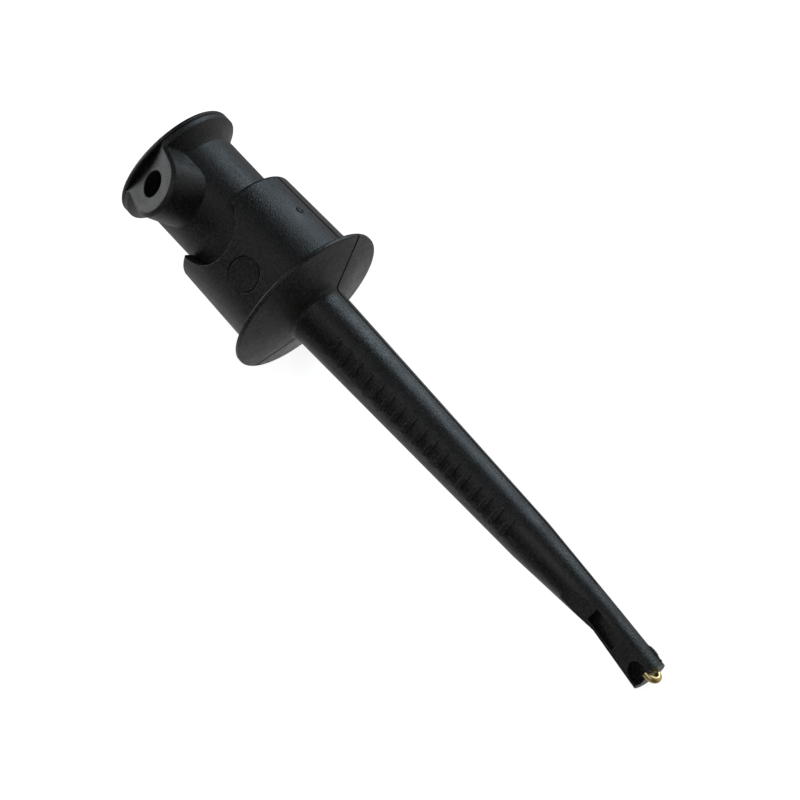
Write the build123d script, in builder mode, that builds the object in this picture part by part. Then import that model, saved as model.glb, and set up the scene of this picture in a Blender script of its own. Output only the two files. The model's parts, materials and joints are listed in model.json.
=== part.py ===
"""A plunger-action hook test clip for an electronics bench: a slim two-piece nylon body with a sprung
plunger in its barrel. Pressing the plunger pushes a gold-plated wire hook out of the bent nose.

Sizes are in millimetres. Distances called "..._AT" run along the clip's axis from the thumb face
towards the tip. The clip lies as it rests on a bench, on its finger flange and its nose.
"""
from build123d import *

import os
from math import atan2, cos, radians, sin, tan

# Thumb end: a cap over the plunger's own flange
THUMB_R = 5.38
CAP_RIM = 0.42
CAP_ROUND = 0.28
DISH_R = 3.9
DISH_DEPTH = 0.22
DISH_SLOPE = 0.35
THUMB_FLANGE_END = 0.93
WAIST_AT = 2.15
GROOVE = 0.07

# Plunger
PLUNGER_R = 4.2
CHAMBER_R = 3.0
CHAMBER_END = 6.0
WEB_END = 7.0
POCKET_R = 3.15
SKIRT_AT = 10.9
SKIRT_CHAMFER = 0.3
SPIGOT_END = 1.4

# Wire boss on the plunger, leaning back towards the thumb face
BOSS_TURN = radians(3)
BOSS_LEAN = radians(29)
BOSS_AT = 2.36
BOSS_OFF_AXIS = 5.7
BOSS_R = 2.62
BOSS_TOP = 1.98
BOSS_LENGTH = 4.8
BOSS_CHAMFER = 0.27
WIRE_HOLE_R = 1.1
WIRE_HOLE_DEPTH = 4.0

# Barrel and finger flange
RIM_AT = 7.6
RIM_R = 5.4
RIM_ROUND = 0.3
BORE_R = 4.26
BARREL_R = 5.65
FLANGE_AT = 15.9
FLANGE_R = 6.93
FLANGE_RIM = 0.38
FLANGE_ROUND = 0.12
NOTCH_R = 3.0
MARK_AT = 13.0
MARK_R = 1.46
MARK_LAND_R = 1.32
MARK_FLOOR = 5.38
MARK_FACE = 5.48

# Shaft
SHAFT_AT = 17.55
SHAFT_R = 2.52
SHAFT_MID_AT = 42.7
SHAFT_MID_R = 1.86
SHAFT_ROOT_ROUND = 0.45
SHAFT_BORE_R = 0.9
SHAFT_BORE_END = 44.0
SEAM_DEPTH = 0.13
SEAM_HALF_WIDTH = 0.1
SEAM_END = 49.0

# Raised grip bars down the front of the shaft
BAR_COUNT = 17
BAR_FIRST_AT = 21.3
BAR_PITCH = 1.24
BAR_LENGTH = 1.75
BAR_WIDTH = 0.5
BAR_HEIGHT = 0.13

# Nose, bent to one side in the plane where the two shells meet
BEND_AT = 51.3
BEND_ANGLE = radians(6.4)
NOSE_ROOT_R = 1.28
NOSE_R = 1.44
NOSE_LENGTH = 5.5
FLAT_TURN = radians(17)
FLAT_OFF_AXIS = 0.98
FLAT_START = -0.8
RAMP_LENGTH = 2.6
RAMP_RISE = 0.52
WINDOW_START = -0.8
WINDOW_END = 2.25
WINDOW_NEAR_SIDE = -0.78
WINDOW_FAR_SIDE = 0.6
WINDOW_FLOOR_START = 0.42
WINDOW_FLOOR_END = 0.78
ARCH_START = 3.95
ARCH_NEAR_SIDE = -0.97
ARCH_FAR_SIDE = 0.82
ARCH_FLOOR = 0.36

# Contact: one wire with a hook at its end, a solder cup and a collar fixed on it
WIRE_R = 0.27
GUIDE_R = 0.33
HOOK_TURN = radians(18)
HOOK_BEND_R = 0.49
HOOK_BEND_AT = 57.0
HOOK_LEG = 0.35
STEM_TOP_AT = 4.6
CUP_R = 1.1
CUP_BORE_R = 0.72
CUP_TOP_AT = 3.3
CUP_FLOOR_AT = 5.1
COLLAR_R = 0.95
COLLAR_LENGTH = 1.3

# Return spring
SPRING_WIRE_R = 0.22
SPRING_MEAN_R = 2.6
SPRING_TURNS = 7

# Lying attitude: the front of the clip is turned from straight up towards -Y
FRONT_TURN = radians(45)
nose_drop = NOSE_R + NOSE_LENGTH * sin(BEND_ANGLE) * sin(FRONT_TURN)
nose_end_at = BEND_AT + NOSE_LENGTH * cos(BEND_ANGLE)
flange_end_at = FLANGE_AT + FLANGE_RIM
PITCH = atan2(FLANGE_R - nose_drop, nose_end_at - flange_end_at)
hook_end_at = HOOK_BEND_AT + HOOK_BEND_R + WIRE_R

axis_dir = Vector(cos(PITCH), 0, -sin(PITCH))
upward_dir = Vector(sin(PITCH), 0, cos(PITCH))
front_dir = upward_dir * cos(FRONT_TURN) + Vector(0, -1, 0) * sin(FRONT_TURN)
thumb_centre = Vector(
    (THUMB_R * sin(PITCH) - hook_end_at * cos(PITCH)) / 2,
    0,
    flange_end_at * sin(PITCH) + FLANGE_R * cos(PITCH),
)

# probe: Z along the clip, X to its front. section: (off the axis, along it). facing: (across, along)
probe = Plane(origin=thumb_centre, x_dir=front_dir, z_dir=axis_dir)
side_dir = probe.y_dir
section = Plane(origin=thumb_centre, x_dir=front_dir, z_dir=-side_dir)
facing = Plane(origin=thumb_centre, x_dir=side_dir, z_dir=front_dir)
centreline = Axis(thumb_centre, axis_dir)

boss_front_dir = front_dir * cos(BOSS_TURN) + side_dir * sin(BOSS_TURN)
boss_dir = boss_front_dir * cos(BOSS_LEAN) - axis_dir * sin(BOSS_LEAN)
boss_face = Plane(
    origin=thumb_centre + boss_front_dir * BOSS_OFF_AXIS + axis_dir * BOSS_AT,
    x_dir=axis_dir.cross(boss_dir),
    z_dir=boss_dir,
)

bend_centre = probe.from_local_coords((0, 0, BEND_AT))
nose_dir = axis_dir * cos(BEND_ANGLE) + side_dir * sin(BEND_ANGLE)
nose_side_dir = side_dir * cos(BEND_ANGLE) - axis_dir * sin(BEND_ANGLE)
flat_dir = front_dir * cos(FLAT_TURN) + nose_side_dir * sin(FLAT_TURN)
nose = Plane(origin=bend_centre, x_dir=flat_dir, z_dir=nose_dir)
nose_section = Plane(origin=bend_centre, x_dir=flat_dir, z_dir=-nose.y_dir)
nose_flat = Plane(origin=bend_centre + flat_dir * FLAT_OFF_AXIS, x_dir=nose.y_dir, z_dir=flat_dir)

hook_dir = front_dir * cos(HOOK_TURN) + side_dir * sin(HOOK_TURN)
hook_plane = Plane(origin=thumb_centre, x_dir=hook_dir, z_dir=hook_dir.cross(axis_dir))


def bore(radius, start, end):
    """Cuts a round hole on the clip's axis from start to end."""
    with BuildSketch(probe.offset(start)) as hole:
        Circle(radius)
    extrude(hole.sketch, amount=end - start, mode=Mode.SUBTRACT)


def tube(outer, inner, start, end):
    """Adds a round tube on the clip's axis from start to end."""
    with BuildSketch(probe.offset(start)) as ring:
        Circle(outer)
        Circle(inner, mode=Mode.SUBTRACT)
    extrude(ring.sketch, amount=end - start)


def shaft_radius(at):
    """The shaft's outer radius at a distance from the thumb face."""
    slope = (SHAFT_R - SHAFT_MID_R) / (SHAFT_MID_AT - SHAFT_AT)
    return SHAFT_R - (at - SHAFT_AT) * slope


def turned(*outline):
    """Adds a closed outline of (off the axis, along it) points, turned round the clip's axis."""
    with BuildSketch(section) as half:
        with BuildLine():
            Polyline(*outline, close=True)
        make_face()
    revolve(half.sketch, axis=centreline)


def ring_edges(piece, radius, at):
    """The round edges of a piece that have this radius and lie this far from the thumb face."""
    rings = piece.edges().filter_by(GeomType.CIRCLE)
    rings = rings.filter_by(lambda e: abs(e.radius - radius) < 0.001)
    return rings.filter_by(lambda e: abs(probe.to_local_coords(e.arc_center).Z - at) < 0.001)


def boss_outline(plane, radius):
    """The wire boss's cross-section: round below, with straight sides up to a flat top."""
    with BuildSketch(plane) as outline:
        Circle(radius)
        with Locations((0, -BOSS_TOP)):
            Rectangle(2 * radius, BOSS_TOP, align=(Align.CENTER, Align.MIN))
            Rectangle(2 * radius, radius, align=(Align.CENTER, Align.MAX), mode=Mode.SUBTRACT)
    return outline.sketch


# Thumb cap: a shallow dish with a rounded rim and a spigot pressed into the plunger
with BuildPart() as thumb_cap:
    turned(
        (0, DISH_DEPTH),
        (DISH_R - DISH_SLOPE, DISH_DEPTH),
        (DISH_R, 0),
        (THUMB_R, 0),
        (THUMB_R, CAP_RIM),
        (CHAMBER_R, CAP_RIM),
        (CHAMBER_R, SPIGOT_END),
        (0, SPIGOT_END),
    )
    fillet(ring_edges(thumb_cap, THUMB_R, 0), CAP_ROUND)
    chamfer(ring_edges(thumb_cap, THUMB_R, CAP_RIM), GROOVE)

# Plunger: flange, waist and skirt in one moulding, with the slanted wire boss on its front
with BuildPart() as plunger_body:
    with BuildSketch(section):
        with BuildLine():
            Polyline(
                (PLUNGER_R, WAIST_AT),
                (PLUNGER_R, SKIRT_AT),
                (0, SKIRT_AT),
                (0, CAP_RIM),
                (THUMB_R, CAP_RIM),
                (THUMB_R, THUMB_FLANGE_END),
            )
            RadiusArc((THUMB_R, THUMB_FLANGE_END), (PLUNGER_R, WAIST_AT), 1.9)
        make_face()
    revolve(axis=centreline)
    chamfer(ring_edges(plunger_body, THUMB_R, CAP_RIM), GROOVE)
    chamfer(ring_edges(plunger_body, PLUNGER_R, SKIRT_AT), SKIRT_CHAMFER)
    boss_shoulder = boss_face.offset(-BOSS_CHAMFER)
    extrude(boss_outline(boss_shoulder, BOSS_R), amount=BOSS_CHAMFER - BOSS_LENGTH)
    loft([boss_outline(boss_shoulder, BOSS_R), boss_outline(boss_face, BOSS_R - BOSS_CHAMFER)])
    with BuildSketch(boss_face):
        Rectangle(3 * BOSS_R, 3 * BOSS_R)
    extrude(amount=BOSS_R, mode=Mode.SUBTRACT)
    bore(CHAMBER_R, CAP_RIM, CHAMBER_END)
    bore(GUIDE_R, CHAMBER_END, WEB_END)
    bore(POCKET_R, WEB_END, SKIRT_AT)
    with BuildSketch(boss_face):
        Circle(WIRE_HOLE_R)
    extrude(amount=-WIRE_HOLE_DEPTH, mode=Mode.SUBTRACT)

# Grip bars: low rounded bars across the shaft that follow its cone
with BuildPart() as grip_bars:
    bars_end_at = BAR_FIRST_AT + BAR_COUNT * BAR_PITCH
    turned(
        (0, BAR_FIRST_AT - BAR_PITCH),
        (shaft_radius(BAR_FIRST_AT - BAR_PITCH) + BAR_HEIGHT, BAR_FIRST_AT - BAR_PITCH),
        (shaft_radius(bars_end_at) + BAR_HEIGHT, bars_end_at),
        (0, bars_end_at),
    )
    with BuildSketch(facing):
        with Locations([(0, BAR_FIRST_AT + i * BAR_PITCH) for i in range(BAR_COUNT)]):
            SlotOverall(BAR_LENGTH, BAR_WIDTH)
    extrude(amount=SHAFT_R + BAR_HEIGHT, mode=Mode.INTERSECT)

# Housing: barrel, finger flange, shaft and bent nose, before it is parted into its two shells
housing_outline = [
    (0, RIM_AT),
    (RIM_R, RIM_AT),
    (BARREL_R, FLANGE_AT),
    (FLANGE_R, FLANGE_AT),
    (FLANGE_R, flange_end_at),
    (SHAFT_R, SHAFT_AT),
    (SHAFT_MID_R, SHAFT_MID_AT),
    (NOSE_ROOT_R, BEND_AT),
    (0, BEND_AT),
]
with BuildPart() as housing:
    turned(*housing_outline)
    fillet(ring_edges(housing, RIM_R, RIM_AT), RIM_ROUND)
    fillet(ring_edges(housing, FLANGE_R, FLANGE_AT), FLANGE_ROUND)
    fillet(ring_edges(housing, FLANGE_R, flange_end_at), FLANGE_ROUND)
    fillet(ring_edges(housing, SHAFT_R, SHAFT_AT), SHAFT_ROOT_ROUND)
    add(grip_bars.part)

    # the seam shows as a fine groove along both sides
    with BuildSketch(facing):
        with Locations((0, RIM_AT)):
            Rectangle(4 * FLANGE_R, SEAM_END - RIM_AT, align=(Align.CENTER, Align.MIN))
        with BuildLine():
            Polyline(*housing_outline, *[(-x, y) for x, y in housing_outline[-2:0:-1]], close=True)
        offset(make_face(mode=Mode.PRIVATE), amount=-SEAM_DEPTH, mode=Mode.SUBTRACT)
    extrude(amount=SEAM_HALF_WIDTH, both=True, mode=Mode.SUBTRACT)

    # nose: a knuckle at the bend, then a round bar with a flat on its front
    with Locations(bend_centre):
        Sphere(NOSE_ROOT_R)
    with BuildSketch(nose):
        Circle(NOSE_ROOT_R)
    with BuildSketch(nose.offset(NOSE_LENGTH)):
        Circle(NOSE_R)
    loft()
    with BuildSketch(nose_section):
        with BuildLine():
            Polyline(
                (FLAT_OFF_AXIS, NOSE_LENGTH + 1),
                (FLAT_OFF_AXIS, FLAT_START),
                (FLAT_OFF_AXIS + RAMP_RISE, FLAT_START - RAMP_LENGTH),
                (SHAFT_R, FLAT_START - RAMP_LENGTH),
                (SHAFT_R, NOSE_LENGTH + 1),
                close=True,
            )
        make_face()
    extrude(amount=SHAFT_R, both=True, mode=Mode.SUBTRACT)

    # window beside the bridge, with a floor that rises towards the tip and a thin far wall
    with BuildSketch(nose_section.offset(-WINDOW_FAR_SIDE)):
        with BuildLine():
            Polyline(
                (WINDOW_FLOOR_START, WINDOW_START),
                (WINDOW_FLOOR_END, WINDOW_END),
                (SHAFT_R, WINDOW_END),
                (SHAFT_R, WINDOW_START),
                close=True,
            )
        make_face()
    extrude(amount=WINDOW_FAR_SIDE - WINDOW_NEAR_SIDE, mode=Mode.SUBTRACT)

    # arched opening that the hook closes into
    arch_r = (ARCH_FAR_SIDE - ARCH_NEAR_SIDE) / 2
    arch_middle = (ARCH_FAR_SIDE + ARCH_NEAR_SIDE) / 2
    with BuildSketch(nose_flat):
        with Locations((arch_middle, ARCH_START + arch_r)):
            Circle(arch_r)
            Rectangle(2 * arch_r, NOSE_LENGTH, align=(Align.CENTER, Align.MIN))
    extrude(amount=ARCH_FLOOR - FLAT_OFF_AXIS, mode=Mode.SUBTRACT)

    # barrel bore, spring floor, clearance bore down the shaft and a guide hole in the nose
    bore(BORE_R, RIM_AT, FLANGE_AT)
    bore(SHAFT_BORE_R, FLANGE_AT, SHAFT_BORE_END)
    bore(GUIDE_R, SHAFT_BORE_END, hook_end_at)

    # notch under the wire boss, and the round moulding mark below it
    with BuildSketch(facing):
        with Locations((0, RIM_AT)):
            Circle(NOTCH_R)
    extrude(amount=FLANGE_R, mode=Mode.SUBTRACT)
    with BuildSketch(facing.offset(MARK_FLOOR)):
        with Locations((0, MARK_AT)):
            Circle(MARK_R)
    extrude(amount=FLANGE_R - MARK_FLOOR, mode=Mode.SUBTRACT)
    with BuildSketch(facing.offset(MARK_FLOOR)):
        with Locations((0, MARK_AT)):
            Circle(MARK_LAND_R)
    extrude(amount=MARK_FACE - MARK_FLOOR)

with BuildPart() as front_shell:
    add(housing.part)
    split(bisect_by=facing, keep=Keep.TOP)

with BuildPart() as rear_shell:
    add(housing.part)
    split(bisect_by=facing, keep=Keep.BOTTOM)

# Contact wire: a straight stem down the clip, bent back on itself as a hook at the tip
with BuildPart() as contact_hook:
    with BuildLine(hook_plane) as wire_path:
        stem = Line((0, STEM_TOP_AT), (0, HOOK_BEND_AT))
        bend = ThreePointArc(
            stem @ 1, (HOOK_BEND_R, HOOK_BEND_AT + HOOK_BEND_R), (2 * HOOK_BEND_R, HOOK_BEND_AT)
        )
        Line(bend @ 1, (2 * HOOK_BEND_R, HOOK_BEND_AT - HOOK_LEG))
    with BuildSketch(probe.offset(STEM_TOP_AT)):
        Circle(WIRE_R)
    sweep(path=wire_path.line)

# Solder cup on the stem's head, above the plunger's web, open to the wire boss
with BuildPart() as solder_cup:
    tube(CUP_R, CUP_BORE_R, CUP_TOP_AT, CUP_FLOOR_AT)
    tube(CUP_R, WIRE_R, CUP_FLOOR_AT, CHAMBER_END)
    with BuildSketch(facing):
        with Locations((0, (CUP_TOP_AT + CUP_FLOOR_AT) / 2)):
            Rectangle(2 * CUP_BORE_R, CUP_FLOOR_AT - CUP_TOP_AT)
    extrude(amount=CUP_R, mode=Mode.SUBTRACT)

# Collar crimped on the stem below the web: it drives the wire when the plunger is pressed
with BuildPart() as stem_collar:
    tube(COLLAR_R, WIRE_R, WEB_END, WEB_END + COLLAR_LENGTH)

# Return spring between the plunger's web and the floor of the barrel
with BuildPart() as return_spring:
    spring_foot = probe.from_local_coords((0, 0, WEB_END + SPRING_WIRE_R))
    spring_height = FLANGE_AT - WEB_END - 2 * SPRING_WIRE_R
    with BuildLine():
        coil = Helix(
            spring_height / SPRING_TURNS, spring_height, SPRING_MEAN_R, center=spring_foot, direction=axis_dir
        )
    with BuildSketch(Plane(origin=coil @ 0, z_dir=coil % 0)):
        Circle(SPRING_WIRE_R)
    sweep(path=coil, is_frenet=True)

os.makedirs("parts", exist_ok=True)

thumb_cap.part.label = "thumb_cap"
plunger_body.part.label = "plunger_body"
front_shell.part.label = "front_shell"
rear_shell.part.label = "rear_shell"
contact_hook.part.label = "contact_hook"
solder_cup.part.label = "solder_cup"
stem_collar.part.label = "stem_collar"
return_spring.part.label = "return_spring"

export_step(thumb_cap.part, "parts/thumb_cap.step")
export_step(plunger_body.part, "parts/plunger_body.step")
export_step(front_shell.part, "parts/front_shell.step")
export_step(rear_shell.part, "parts/rear_shell.step")
export_step(contact_hook.part, "parts/contact_hook.step")
export_step(solder_cup.part, "parts/solder_cup.step")
export_step(stem_collar.part, "parts/stem_collar.step")
export_step(return_spring.part, "parts/return_spring.step")
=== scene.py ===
"""The looks of a plunger-action hook test clip: black moulded nylon, a gold-plated hook wire, a turned
brass cup and collar and a steel return spring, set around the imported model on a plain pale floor.

Lengths are in metres. "Along" runs down the clip's axis from the thumb face to the tip. "Clock" is the
angle round that axis, from the clip's front towards its side.
"""
import json
import logging
import math
import random
from dataclasses import dataclass
from enum import Enum

import bpy
from mathutils import Matrix, Vector


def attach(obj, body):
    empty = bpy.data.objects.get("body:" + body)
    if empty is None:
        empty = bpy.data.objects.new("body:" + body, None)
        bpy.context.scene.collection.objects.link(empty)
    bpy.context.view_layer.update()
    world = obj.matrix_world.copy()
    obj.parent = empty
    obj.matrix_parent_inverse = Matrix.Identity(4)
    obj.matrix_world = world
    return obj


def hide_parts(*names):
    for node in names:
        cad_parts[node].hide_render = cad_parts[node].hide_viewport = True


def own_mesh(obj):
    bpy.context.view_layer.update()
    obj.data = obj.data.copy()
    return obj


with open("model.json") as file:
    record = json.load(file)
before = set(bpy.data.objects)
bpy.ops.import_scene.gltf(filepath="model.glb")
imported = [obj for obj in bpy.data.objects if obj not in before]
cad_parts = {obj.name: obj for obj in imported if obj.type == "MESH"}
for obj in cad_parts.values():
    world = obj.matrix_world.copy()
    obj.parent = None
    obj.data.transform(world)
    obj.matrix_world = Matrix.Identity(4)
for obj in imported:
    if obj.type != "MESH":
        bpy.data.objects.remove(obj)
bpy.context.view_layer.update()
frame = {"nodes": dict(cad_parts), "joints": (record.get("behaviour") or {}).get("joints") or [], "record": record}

MM = 0.001
LOG = logging.getLogger("hook_clip")

Colour = tuple[float, float, float]
Direction = tuple[float, float, float]


class Slot(Enum):
    """The record's material slots."""

    HOUSING = "housing_nylon"
    PLUNGER = "plunger_nylon"
    GOLD = "gold_wire"
    BRASS = "brass_parts"
    STEEL = "spring_steel"


class Body(Enum):
    """The two bodies that the press joint slides apart."""

    BARREL = "barrel"
    PLUNGER = "plunger"


@dataclass(frozen=True)
class ClipAxes:
    """The clip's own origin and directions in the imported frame.

    Attributes:
        thumb: Centre of the thumb face's rim.
        along: Unit direction from the thumb face to the tip.
        front: Unit direction out of the clip's front, across its axis.
        travel: How far the plunger slides towards the tip.
    """

    thumb: Vector
    along: Vector
    front: Vector
    travel: float

    @classmethod
    def from_frame(cls, boss_turn: float = math.radians(3), dish_depth: float = 0.22 * MM) -> "ClipAxes":
        """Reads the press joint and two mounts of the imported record.

        Args:
            boss_turn: How far the wire boss is turned from the front, in radians.
            dish_depth: How far the dish floor lies below the thumb face's rim.

        Returns:
            The clip's axes.
        """
        press = frame["joints"][0]
        mounts = {mount["name"]: mount for mount in frame["record"]["mounts"]}
        along = Vector(press["axis"]).normalized()
        boss = Vector(mounts["wire_entry"]["axis"])
        boss_front = (boss - along * boss.dot(along)).normalized()
        front = Matrix.Rotation(-boss_turn, 3, along) @ boss_front
        thumb = Vector(mounts["thumb_face"]["pos_m"]) - along * dish_depth
        return cls(thumb, along, front, max(press["range_m"]))

    def outward(self, clock: float) -> Vector:
        """The unit direction across the axis at a clock angle in radians."""
        return self.front * math.cos(clock) + self.along.cross(self.front) * math.sin(clock)

    def point(self, along: float, radius: float = 0.0, clock: float = 0.0) -> Vector:
        """A point at a distance along the axis, off it by a radius at a clock angle."""
        return self.thumb + self.along * along + self.outward(clock) * radius

    def reach(self, node: str) -> tuple[float, float, float]:
        """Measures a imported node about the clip's axis.

        Args:
            node: The node's name.

        Returns:
            Where the node starts and ends along the axis, and its largest radius.
        """
        places = [vertex.co - self.thumb for vertex in frame["nodes"][node].data.vertices]
        alongs = [place.dot(self.along) for place in places]
        radii = [(place - self.along * at).length for place, at in zip(places, alongs)]
        return min(alongs), max(alongs), max(radii)


class ShaderTree:
    """A material's node tree, grown one node at a time from its Principled shader."""

    def __init__(self, name: str) -> None:
        """Makes the material and finds its shader node.

        Args:
            name: The material's name.
        """
        self.material = bpy.data.materials.new(name)
        self.material.use_nodes = True
        self.nodes = self.material.node_tree.nodes
        self.links = self.material.node_tree.links
        self.shader = self.nodes["Principled BSDF"]
        self.place = self.nodes.new("ShaderNodeTexCoord").outputs["Object"]

    def set(self, **values: float | tuple) -> None:
        """Sets the shader's own sockets; an underscore in a name stands for a space."""
        for name, value in values.items():
            self.shader.inputs[name.replace("_", " ")].default_value = value

    def link(self, source: bpy.types.NodeSocket, target: str) -> None:
        """Drives one of the shader's sockets."""
        self.links.new(source, self.shader.inputs[target])

    def stretched(self, direction: Vector, length: float) -> bpy.types.NodeSocket:
        """Draws the texture coordinates out along a direction.

        Args:
            direction: The unit direction in which the pattern runs.
            length: How many times longer than wide the pattern becomes.

        Returns:
            The stretched coordinates.
        """
        mapping = self.nodes.new("ShaderNodeMapping")
        turn = direction.to_track_quat("X", "Z").to_matrix().inverted().to_euler()
        mapping.vector_type = "POINT"
        mapping.inputs["Rotation"].default_value = turn
        mapping.inputs["Scale"].default_value = (1 / length, 1, 1)
        self.links.new(self.place, mapping.inputs["Vector"])
        return mapping.outputs["Vector"]

    def noise(
        self, size: float, detail: float = 2.0, place: bpy.types.NodeSocket | None = None
    ) -> bpy.types.NodeSocket:
        """Adds noise of a real size.

        Args:
            size: The size of the pattern's largest features.
            detail: How many octaves are laid over it.
            place: The coordinates to use, or None for the object's own.

        Returns:
            The noise value, from 0 to 1.
        """
        node = self.nodes.new("ShaderNodeTexNoise")
        node.inputs["Scale"].default_value = 1 / size
        node.inputs["Detail"].default_value = detail
        self.links.new(place or self.place, node.inputs["Vector"])
        return node.outputs["Fac"]

    def ramp(
        self, value: bpy.types.NodeSocket, low: float, high: float, out_low: float, out_high: float
    ) -> bpy.types.NodeSocket:
        """Maps a value smoothly from one range to another.

        Args:
            value: The value to map.
            low: The input that gives out_low.
            high: The input that gives out_high.
            out_low: The output at and below low.
            out_high: The output at and above high.

        Returns:
            The mapped value.
        """
        node = self.nodes.new("ShaderNodeMapRange")
        node.interpolation_type = "SMOOTHSTEP"
        for socket, number in zip(list(node.inputs)[1:5], (low, high, out_low, out_high)):
            socket.default_value = number
        self.links.new(value, node.inputs[0])
        return node.outputs[0]

    def maths(
        self, operation: str, first: bpy.types.NodeSocket, second: bpy.types.NodeSocket
    ) -> bpy.types.NodeSocket:
        """Adds, subtracts or otherwise joins two values."""
        node = self.nodes.new("ShaderNodeMath")
        node.operation = operation
        self.links.new(first, node.inputs[0])
        self.links.new(second, node.inputs[1])
        return node.outputs[0]

    def blend(self, share: bpy.types.NodeSocket, first: Colour, second: Colour) -> bpy.types.NodeSocket:
        """Mixes two colours by a share from 0 to 1."""
        node = self.nodes.new("ShaderNodeMix")
        node.data_type = "RGBA"
        self.links.new(share, node.inputs[0])
        node.inputs[6].default_value = (*first, 1)
        node.inputs[7].default_value = (*second, 1)
        return node.outputs[2]

    def bump(
        self, height: bpy.types.NodeSocket, depth: float, under: bpy.types.NodeSocket | None = None
    ) -> bpy.types.NodeSocket:
        """Adds relief of a real depth.

        Args:
            height: The relief, from 0 to 1.
            depth: How deep the relief is.
            under: A normal that the relief lies on, or None.

        Returns:
            The new normal.
        """
        node = self.nodes.new("ShaderNodeBump")
        node.inputs["Distance"].default_value = depth
        self.links.new(height, node.inputs["Height"])
        if under is not None:
            self.links.new(under, node.inputs["Normal"])
        return node.outputs["Normal"]

    def soft_edges(self, radius: float) -> bpy.types.NodeSocket:
        """A normal that rounds sharp moulded edges by a small radius."""
        node = self.nodes.new("ShaderNodeBevel")
        node.samples = 4
        node.inputs["Radius"].default_value = radius
        return node.outputs["Normal"]


@dataclass(frozen=True)
class MouldedNylon:
    """Black glass-filled nylon: a satin skin with fine grain, flow streaks and handling shine.

    Attributes:
        name: The material's name.
        base: Colour of the resin.
        bloom: Colour where glass fibre lies near the skin.
        flow: Direction in which the resin ran down the mould.
        roughness: Middle roughness of the skin.
        grain: Size of the mould's grain.
        grain_depth: Depth of the mould's grain.
        fleck: Size of a patch of fibre near the skin.
        cloud: Size of the dull and shiny areas that cooling leaves.
        rub: Size of the areas that handling has rubbed smoother.
        streak: Width of a flow streak.
        streak_stretch: How many times longer than wide a flow streak is.
        streak_depth: Depth of a flow streak.
        edge: Radius of the rounding on its sharp edges.
    """

    name: str
    base: Colour
    bloom: Colour
    flow: Vector
    roughness: float = 0.37
    grain: float = 0.11 * MM
    grain_depth: float = 0.03 * MM
    fleck: float = 0.15 * MM
    cloud: float = 2.6 * MM
    rub: float = 5.5 * MM
    streak: float = 0.5 * MM
    streak_stretch: float = 9
    streak_depth: float = 0.004 * MM
    edge: float = 0.075 * MM

    def material(self) -> bpy.types.Material:
        """Makes the material."""
        tree = ShaderTree(self.name)
        clouds = tree.noise(self.cloud, 4)
        streaks = tree.noise(self.streak, 3, tree.stretched(self.flow, self.streak_stretch))
        flecks = tree.noise(self.fleck, 1)
        rubbed = tree.noise(self.rub, 3)
        tree.link(tree.blend(tree.ramp(flecks, 0.4, 0.72, 0.0, 1.0), self.base, self.bloom), "Base Color")
        cloudy = tree.ramp(clouds, 0.3, 0.7, -0.045, 0.05)
        streaky = tree.ramp(streaks, 0.3, 0.7, self.roughness - 0.03, self.roughness + 0.05)
        worn = tree.ramp(rubbed, 0.5, 0.72, 0.0, 0.07)
        tree.link(tree.maths("SUBTRACT", tree.maths("ADD", cloudy, streaky), worn), "Roughness")
        normal = tree.bump(tree.noise(self.grain, 3), self.grain_depth, tree.soft_edges(self.edge))
        tree.link(tree.bump(streaks, self.streak_depth, normal), "Normal")
        tree.set(IOR=1.52, Specular_IOR_Level=0.5)
        return tree.material


@dataclass(frozen=True)
class DrawnMetal:
    """A drawn or turned metal with fine lines along one direction and a little tarnish.

    Attributes:
        name: The material's name.
        bright: Colour of the clean metal.
        dull: Colour where it is handled or tarnished.
        lines: Direction of the drawing or turning lines.
        roughness: Roughness of the clean metal.
        line: Width of one line.
        line_stretch: How many times longer than wide a line is.
        line_depth: Depth of a line.
        tarnish: Size of a tarnished area.
        tarnish_roughness: How much rougher the tarnished metal is.
    """

    name: str
    bright: Colour
    dull: Colour
    lines: Vector
    roughness: float = 0.2
    line: float = 0.03 * MM
    line_stretch: float = 14
    line_depth: float = 0.0015 * MM
    tarnish: float = 0.7 * MM
    tarnish_roughness: float = 0.16

    def material(self) -> bpy.types.Material:
        """Makes the material."""
        tree = ShaderTree(self.name)
        tarnish = tree.noise(self.tarnish, 4)
        lines = tree.noise(self.line, 2, tree.stretched(self.lines, self.line_stretch))
        tree.link(tree.blend(tree.ramp(tarnish, 0.42, 0.7, 0.0, 1.0), self.bright, self.dull), "Base Color")
        rough = self.roughness + self.tarnish_roughness
        tree.link(tree.ramp(tarnish, 0.35, 0.7, self.roughness, rough), "Roughness")
        tree.link(tree.bump(lines, self.line_depth), "Normal")
        tree.set(Metallic=1.0)
        return tree.material


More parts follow.
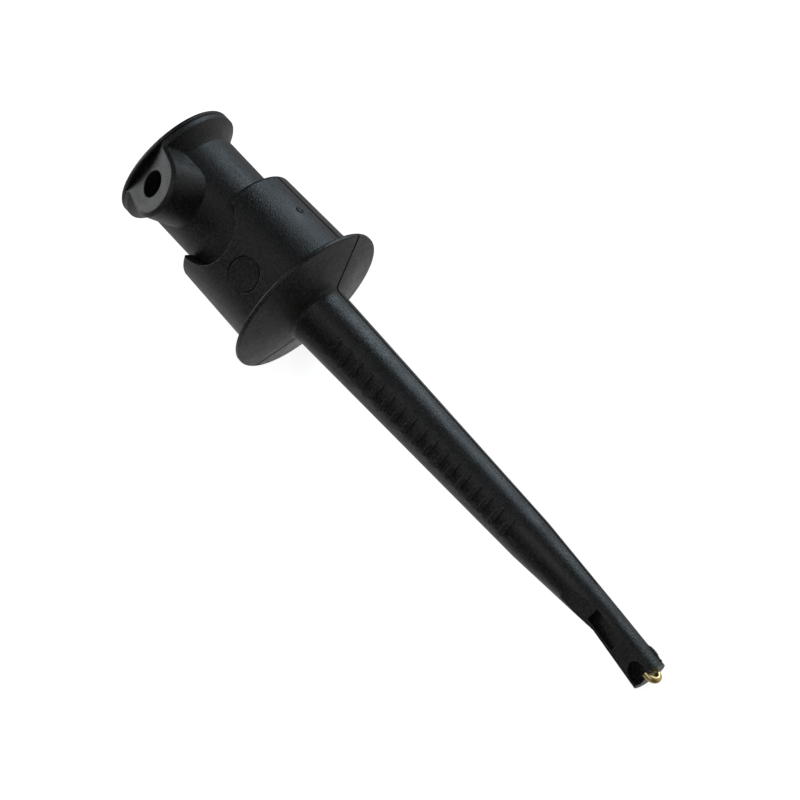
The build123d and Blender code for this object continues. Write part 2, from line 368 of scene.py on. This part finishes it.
@dataclass(frozen=True)
class FinishSet:
    """Every finish of the clip, each made once and named by the record's slot.

    Attributes:
        materials: The material for each slot.
    """

    materials: dict[Slot, bpy.types.Material]

    @classmethod
    def for_clip(cls, axes: ClipAxes) -> "FinishSet":
        """Makes the finishes.

        Args:
            axes: The clip's axes, which the flow and drawing lines follow.

        Returns:
            The set of finishes.
        """
        across = axes.outward(0)
        nylon = {"base": (0.0045, 0.0045, 0.0042), "bloom": (0.026, 0.026, 0.024), "flow": axes.along}
        finishes = {
            Slot.HOUSING: MouldedNylon("housing_nylon", **nylon),
            Slot.PLUNGER: MouldedNylon(
                "plunger_nylon", **nylon, roughness=0.4, grain=0.09 * MM, edge=0.15 * MM
            ),
            Slot.GOLD: DrawnMetal("gold_wire", (1.0, 0.8, 0.38), (0.86, 0.6, 0.2), axes.along, 0.3),
            Slot.BRASS: DrawnMetal("turned_brass", (0.8, 0.62, 0.32), (0.55, 0.38, 0.16), across, 0.24),
            Slot.STEEL: DrawnMetal("spring_steel", (0.62, 0.62, 0.61), (0.4, 0.39, 0.38), across, 0.26),
        }
        return cls({slot: finish.material() for slot, finish in finishes.items()})

    def dress(self, piece: bpy.types.Object, slot: Slot) -> None:
        """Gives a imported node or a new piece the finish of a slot."""
        piece.data.materials.clear()
        piece.data.materials.append(self.materials[slot])


def mesh_piece(
    name: str,
    points: list[Vector],
    faces: list[tuple[int, ...]],
    slot: Slot,
    finishes: FinishSet,
    body: Body,
) -> bpy.types.Object:
    """Makes a smooth mesh piece that rides on a body.

    Args:
        name: The piece's name.
        points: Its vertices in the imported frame.
        faces: Its faces, as indices of the vertices.
        slot: The slot that it takes its finish from.
        finishes: The clip's finishes.
        body: The body that it rides on.

    Returns:
        The piece.
    """
    mesh = bpy.data.meshes.new(name)
    mesh.from_pydata([tuple(point) for point in points], [], faces)
    mesh.validate()
    mesh.polygons.foreach_set("use_smooth", [True] * len(mesh.polygons))
    piece = bpy.data.objects.new(name, mesh)
    bpy.context.scene.collection.objects.link(piece)
    finishes.dress(piece, slot)
    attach(piece, body.value)
    LOG.info("%s: %d faces on %s", name, len(faces), body.value)
    return piece


def tube_faces(stations: int, corners: int) -> list[tuple[int, ...]]:
    """Faces of a closed tube with rings of points one after another.

    Args:
        stations: How many rings there are.
        corners: How many points a ring has.

    Returns:
        The side faces and the two end caps.
    """
    faces: list[tuple[int, ...]] = [tuple(range(corners))]
    for station in range(stations - 1):
        for corner in range(corners):
            here = station * corners + corner
            beside = station * corners + (corner + 1) % corners
            faces.append((here, here + corners, beside + corners, beside))
    last = (stations - 1) * corners
    faces.append(tuple(reversed(range(last, last + corners))))
    return faces


@dataclass(frozen=True)
class Housing:
    """The two moulded shells, with a broken-off gate on the barrel and flash on the nose.

    Attributes:
        gate_along: Where the gate lies along the clip.
        gate_clock: Where the gate lies round the clip.
        gate_radius: Outer radius of the gate's crater.
        gate_height: Height of the crater's ragged lip.
        gate_lip: Where the lip's crest lies, as a share of the crater's radius.
        gate_lip_width: Half the width of the lip, as a share of the crater's radius.
        gate_sink: Depth of the crater's outer edge in the skin, as a share of its height.
        gate_floor: Height of the crater's middle, as a share of its height.
        gate_wobble: How far out of round the crater is, as a share of its radius.
        flash_start: Where the flash starts along the clip.
        flash_end: Where the flash ends along the clip.
        flash_clock: Where the flash lies round the clip.
        flash_height: Height of the flash at its highest.
        flash_width: Width of the flash at its foot.
        clear: A distance off the axis that is outside every part of the shells.
    """

    gate_along: float = 11.6 * MM
    gate_clock: float = math.radians(-77)
    gate_radius: float = 0.4 * MM
    gate_height: float = 0.09 * MM
    gate_lip: float = 0.62
    gate_lip_width: float = 0.2
    gate_sink: float = 0.35
    gate_floor: float = 0.3
    gate_wobble: float = 0.06
    flash_start: float = 55.1 * MM
    flash_end: float = 56.66 * MM
    flash_clock: float = math.radians(-106)
    flash_height: float = 0.2 * MM
    flash_width: float = 0.4 * MM
    clear: float = 9 * MM

    def build(self, axes: ClipAxes, finishes: FinishSet) -> None:
        """Dresses both shells and adds the gate and the flash.

        Args:
            axes: The clip's axes.
            finishes: The clip's finishes.
        """
        for node in ("front_shell", "rear_shell"):
            finishes.dress(frame["nodes"][node], Slot.HOUSING)
            LOG.info("%s: moulded nylon", node)
        self.gate(axes, finishes)
        self.flash(axes, finishes)

    def on_skin(self, outside: Vector, inward: Vector) -> Vector:
        """The point where a line from outside first meets one of the shells.

        Args:
            outside: A point outside the shells.
            inward: The unit direction to look in.

        Returns:
            The nearest point on the shells' skin.
        """
        found = []
        for node in ("front_shell", "rear_shell"):
            hit, place, _, _ = frame["nodes"][node].ray_cast(outside, inward)
            if hit:
                found.append(place)
        return min(found, key=lambda place: (place - outside).length)

    def gate(self, axes: ClipAxes, finishes: FinishSet, rings: int = 9, spokes: int = 28) -> None:
        """Adds the crater that the mould's gate leaves, with its foot sunk in the skin.

        Args:
            axes: The clip's axes.
            finishes: The clip's finishes.
            rings: How many rings of points the crater has.
            spokes: How many points a ring has.
        """
        rough = random.Random(11)
        outward = axes.outward(self.gate_clock)
        across = outward.cross(axes.along)
        centre = axes.point(self.gate_along, self.clear, self.gate_clock)
        points = []
        for ring in range(rings):
            share = 1 - ring / rings
            lip = math.exp(-(((share - self.gate_lip) / self.gate_lip_width) ** 2))
            for spoke in range(spokes):
                turn = math.tau * spoke / spokes
                reach = self.gate_radius * share * (1 + self.gate_wobble * math.sin(3 * turn + 1))
                spot = centre + (axes.along * math.cos(turn) + across * math.sin(turn)) * reach
                height = self.gate_height * (lip * rough.uniform(0.6, 1.0) - self.gate_sink * (ring == 0))
                points.append(self.on_skin(spot, -outward) + outward * height)
        middle = self.on_skin(centre, -outward)
        points.append(middle + outward * self.gate_floor * self.gate_height)
        points.append(middle - outward * 2 * self.gate_height)
        faces = []
        for ring in range(rings - 1):
            for spoke in range(spokes):
                here = ring * spokes + spoke
                beside = ring * spokes + (spoke + 1) % spokes
                faces.append((here, beside, beside + spokes, here + spokes))
        top, foot = rings * spokes, rings * spokes + 1
        inner = (rings - 1) * spokes
        for spoke in range(spokes):
            faces.append((inner + spoke, inner + (spoke + 1) % spokes, top))
            faces.append((foot, (spoke + 1) % spokes, spoke))
        mesh_piece("gate_mark", points, faces, Slot.HOUSING, finishes, Body.BARREL)

    def flash(self, axes: ClipAxes, finishes: FinishSet, stations: int = 34) -> None:
        """Adds a ragged fin of flash beside the seam near the nose's end.

        Args:
            axes: The clip's axes.
            finishes: The clip's finishes.
            stations: How many cross-sections the fin has.
        """
        rough = random.Random(5)
        outward = axes.outward(self.flash_clock)
        aside = outward.cross(axes.along)
        profile = ((-1.0, -0.5), (-0.9, 0.35), (-0.35, 0.95), (0.35, 1.0), (0.9, 0.4), (1.0, -0.5))
        swell_start, swell_rate = 0.02, 1.15
        nib, nib_height = 0.85, 0.55
        points = []
        for station in range(stations):
            share = station / (stations - 1)
            along = self.flash_start + (self.flash_end - self.flash_start) * share
            outside = axes.point(along, self.clear, self.flash_clock)
            skin = self.on_skin(outside, -outward)
            swell = nib_height
            if share < nib:
                swell = math.sqrt(math.sin(math.pi * (share * swell_rate + swell_start)))
            height = self.flash_height * swell * rough.uniform(0.72, 1.0)
            width = self.flash_width * rough.uniform(0.8, 1.0) / 2
            points += [skin + aside * width * x + outward * height * y for x, y in profile]
        faces = tube_faces(stations, len(profile))
        mesh_piece("nose_flash", points, faces, Slot.HOUSING, finishes, Body.BARREL)


@dataclass(frozen=True)
class Plunger:
    """The sprung plunger with its wire boss, and the thumb cap pressed into it."""

    def build(self, finishes: FinishSet) -> None:
        """Dresses both mouldings.

        Args:
            finishes: The clip's finishes.
        """
        for node in ("plunger_body", "thumb_cap"):
            finishes.dress(frame["nodes"][node], Slot.PLUNGER)
            LOG.info("%s: moulded nylon", node)


@dataclass(frozen=True)
class Contact:
    """The hooked wire with the solder cup and the collar fixed on its stem."""

    def build(self, finishes: FinishSet) -> None:
        """Dresses the three metal pieces.

        Args:
            finishes: The clip's finishes.
        """
        finishes.dress(frame["nodes"]["contact_hook"], Slot.GOLD)
        for node in ("solder_cup", "stem_collar"):
            finishes.dress(frame["nodes"][node], Slot.BRASS)
        LOG.info("contact_hook, solder_cup, stem_collar: gold plate and brass")


@dataclass(frozen=True)
class ReturnSpring:
    """A coil of round wire with closed, ground ends.

    Attributes:
        wire_radius: Radius of the wire.
        open_turns: Turns with a gap between them.
        closed_turns: Turns that lie on each other at each end.
        closed_pitch: Rise of a closed turn, as a share of the wire's width.
        steps: Cross-sections in one turn.
        corners: Points round the wire.
    """

    wire_radius: float = 0.22 * MM
    open_turns: float = 6.0
    closed_turns: float = 1.15
    closed_pitch: float = 0.9
    steps: int = 40
    corners: int = 12

    def rise(self, turn: float, height: float) -> float:
        """How far the wire's centre has risen after some turns.

        Args:
            turn: How many turns the wire has made.
            height: The rise over the whole spring.

        Returns:
            The rise at that turn.
        """
        closed_rise = 2 * self.wire_radius * self.closed_turns * self.closed_pitch
        open_pitch = (height - 2 * closed_rise) / self.open_turns
        if turn <= self.closed_turns:
            return closed_rise * turn / self.closed_turns
        if turn <= self.closed_turns + self.open_turns:
            return closed_rise + (turn - self.closed_turns) * open_pitch
        past = turn - self.closed_turns - self.open_turns
        return height - closed_rise * (1 - past / self.closed_turns)

    def build(self, axes: ClipAxes, finishes: FinishSet) -> None:
        """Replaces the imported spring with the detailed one.

        Args:
            axes: The clip's axes.
            finishes: The clip's finishes.
        """
        start, end, outer = axes.reach("return_spring")
        mean = outer - self.wire_radius
        turns = self.open_turns + 2 * self.closed_turns
        stations = int(turns * self.steps) + 1
        points = []
        for station in range(stations):
            turn = turns * station / (stations - 1)
            clock = math.tau * turn
            centre = start + self.wire_radius + self.rise(turn, end - start - 2 * self.wire_radius)
            for corner in range(self.corners):
                spin = math.tau * corner / self.corners
                radius = mean + self.wire_radius * math.cos(spin)
                along = centre + self.wire_radius * math.sin(spin)
                points.append(axes.point(min(max(along, start), end), radius, clock))
        piece = mesh_piece(
            "return_coil", points, tube_faces(stations, self.corners), Slot.STEEL, finishes, Body.BARREL
        )
        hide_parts("return_spring")
        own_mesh(piece)


@dataclass(frozen=True)
class Softbox:
    """A rectangular studio light that looks at the clip.

    Attributes:
        name: The light's name.
        direction: Direction from the clip to the light.
        distance: How far off it stands.
        width: Its width.
        height: Its height.
        watts: Its power.
        colour: Its colour.
    """

    name: str
    direction: Vector
    distance: float
    width: float
    height: float
    watts: float
    colour: Colour = (1.0, 1.0, 1.0)

    def build(self, target: Vector) -> None:
        """Hangs the light and turns it to the target.

        Args:
            target: The point that it looks at.
        """
        lamp = bpy.data.lights.new(self.name, "AREA")
        lamp.shape = "RECTANGLE"
        lamp.size = self.width
        lamp.size_y = self.height
        lamp.energy = self.watts
        lamp.color = self.colour
        light = bpy.data.objects.new(self.name, lamp)
        away = self.direction.normalized()
        light.matrix_world = Matrix.Translation(target + away * self.distance) @ (
            away.to_track_quat("Z", "Y").to_matrix().to_4x4()
        )
        light.visible_camera = False
        bpy.context.scene.collection.objects.link(light)


@dataclass(frozen=True)
class Glow:
    """A pale side of the room, seen only as light on the clip.

    Attributes:
        direction: Direction of its middle.
        edge: Cosine of the angle from its middle at which it has faded out.
        strength: How strongly its middle shines.
        dim: How strongly the room shines beyond its edge.
    """

    direction: Direction
    edge: float
    strength: float
    dim: float = 0.015


@dataclass(frozen=True)
class Studio:
    """A pale floor, soft lights and the camera.

    Attributes:
        aim_along: Where the camera looks along the clip.
        aim_right: How far to the right of the axis it looks.
        aim_up: How far above the axis it looks.
        azimuth: Camera's turn from -Y towards +X, in radians.
        elevation: Camera's height over the floor, in radians.
        distance: Camera's distance from what it looks at.
        lens: Focal length in millimetres on a 36 mm sensor.
        floor_size: Width of the floor.
        key_clock: Where the key light hangs round the clip.
        key_lean: How far the key light leans back towards the thumb face.
        fill_clock: Where the fill light hangs round the clip.
        fill_lean: How far the fill light leans towards the tip.
        glows: The room's two pale sides.
    """

    aim_along: float = 27.3 * MM
    aim_right: float = 0.078 * MM
    aim_up: float = -0.025 * MM
    azimuth: float = math.radians(49.02)
    elevation: float = math.radians(56.06)
    distance: float = 0.382
    lens: float = 223.4
    floor_size: float = 6.0
    key_clock: float = math.radians(-108)
    key_lean: float = math.sin(math.radians(18.4))
    fill_clock: float = math.radians(30)
    fill_lean: float = 0.5
    glows: tuple[Glow, Glow] = (Glow((0.3, 0.9, -0.3), 0.2, 0.55), Glow((-0.2, -0.3, -0.93), 0.45, 0.62))

    def build(self, axes: ClipAxes) -> None:
        """Sets up the floor, the surroundings, the lights and the camera.

        Args:
            axes: The clip's axes.
        """
        aim = axes.point(self.aim_along)
        self.floor()
        self.surroundings()
        for light in self.lights(axes):
            light.build(aim)
        self.camera(aim)

    def lights(self, axes: ClipAxes) -> list[Softbox]:
        """Chooses the lights: a narrow cool key for the long highlight, and three wide dim ones.

        Args:
            axes: The clip's axes.

        Returns:
            The lights.
        """
        key = axes.outward(self.key_clock) - axes.along * self.key_lean
        fill = axes.outward(self.fill_clock) + axes.along * self.fill_lean
        window = Vector((-0.9, -0.4, 0.1))
        top = Vector((0.1, -0.35, 1.0))
        return [
            Softbox(
                "key_softbox", key, distance=0.8, width=0.14, height=0.5, watts=1.7, colour=(0.72, 0.88, 1.0)
            ),
            Softbox(
                "window_softbox",
                window,
                distance=1.0,
                width=0.7,
                height=0.7,
                watts=4.4,
                colour=(0.95, 0.98, 1.0),
            ),
            Softbox("top_softbox", top, distance=1.2, width=1.0, height=1.0, watts=2.2),
            Softbox("fill_softbox", fill, distance=1.2, width=0.6, height=0.6, watts=0.4),
        ]

    def floor(self) -> None:
        """Lays a plain pale floor under the clip."""
        half = self.floor_size / 2
        corners = [(-half, -half, 0), (half, -half, 0), (half, half, 0), (-half, half, 0)]
        mesh = bpy.data.meshes.new("floor")
        mesh.from_pydata(corners, [], [(0, 1, 2, 3)])
        floor = bpy.data.objects.new("floor", mesh)
        bpy.context.scene.collection.objects.link(floor)
        tree = ShaderTree("floor_paper")
        paper = tree.ramp(tree.noise(0.4, 3), 0.3, 0.7, 0.0, 1.0)
        tree.link(tree.blend(paper, (0.8, 0.8, 0.8), (0.82, 0.82, 0.82)), "Base Color")
        tree.set(Roughness=0.9, Emission_Color=(1, 1, 1, 1), Emission_Strength=0.86)
        mesh.materials.append(tree.material)
        floor.visible_glossy = False

    def glow(self, tree: bpy.types.NodeTree, side: Glow) -> bpy.types.NodeSocket:
        """Adds one pale side of the room to the world's nodes.

        Args:
            tree: The world's node tree.
            side: The side of the room.

        Returns:
            How strongly the room shines from there.
        """
        toward = tree.nodes.new("ShaderNodeVectorMath")
        toward.operation = "DOT_PRODUCT"
        toward.inputs[1].default_value = Vector(side.direction).normalized()
        tree.links.new(tree.nodes.new("ShaderNodeTexCoord").outputs["Generated"], toward.inputs[0])
        fade = tree.nodes.new("ShaderNodeMapRange")
        fade.interpolation_type = "SMOOTHSTEP"
        for socket, number in zip(list(fade.inputs)[1:5], (side.edge, 1.0, side.dim, side.strength)):
            socket.default_value = number
        tree.links.new(toward.outputs["Value"], fade.inputs[0])
        return fade.outputs[0]

    def surroundings(self) -> None:
        """Makes a dim room with two pale sides, and a pale backdrop for the camera."""
        world = bpy.data.worlds.new("studio")
        world.use_nodes = True
        nodes, links = world.node_tree.nodes, world.node_tree.links
        nodes.clear()
        room = nodes.new("ShaderNodeBackground")
        light = nodes.new("ShaderNodeMath")
        light.operation = "ADD"
        for side, socket in zip(self.glows, light.inputs):
            links.new(self.glow(world.node_tree, side), socket)
        links.new(light.outputs[0], room.inputs["Strength"])
        backdrop = nodes.new("ShaderNodeBackground")
        backdrop.inputs["Strength"].default_value = 1.0
        seen = nodes.new("ShaderNodeLightPath")
        choice = nodes.new("ShaderNodeMixShader")
        links.new(seen.outputs["Is Camera Ray"], choice.inputs[0])
        links.new(room.outputs[0], choice.inputs[1])
        links.new(backdrop.outputs[0], choice.inputs[2])
        links.new(choice.outputs[0], nodes.new("ShaderNodeOutputWorld").inputs["Surface"])
        bpy.context.scene.world = world
        bpy.context.scene.view_settings.view_transform = "Standard"

    def camera(self, aim: Vector) -> None:
        """Places the camera.

        Args:
            aim: The point on the clip's axis that it looks at.
        """
        turn, lift = self.azimuth, self.elevation
        right = Vector((math.cos(turn), math.sin(turn), 0))
        back = Vector((math.cos(lift) * math.sin(turn), -math.cos(lift) * math.cos(turn), math.sin(lift)))
        above = back.cross(right)
        target = aim + right * self.aim_right + above * self.aim_up
        lens = bpy.data.cameras.new("camera")
        lens.lens = self.lens
        lens.sensor_width = 36.0
        lens.clip_start = 0.01
        camera = bpy.data.objects.new("camera", lens)
        spread = Matrix((right, above, back)).transposed().to_4x4()
        camera.matrix_world = Matrix.Translation(target + back * self.distance) @ spread
        bpy.context.scene.collection.objects.link(camera)
        bpy.context.scene.camera = camera


def main() -> None:
    """Builds the clip's looks in order."""
    logging.basicConfig(level=logging.INFO, format="%(name)s: %(message)s")
    axes = ClipAxes.from_frame()
    finishes = FinishSet.for_clip(axes)
    Housing().build(axes, finishes)
    Plunger().build(finishes)
    Contact().build(finishes)
    ReturnSpring().build(axes, finishes)
    Studio().build(axes)


if __name__ == "__main__":
    main()
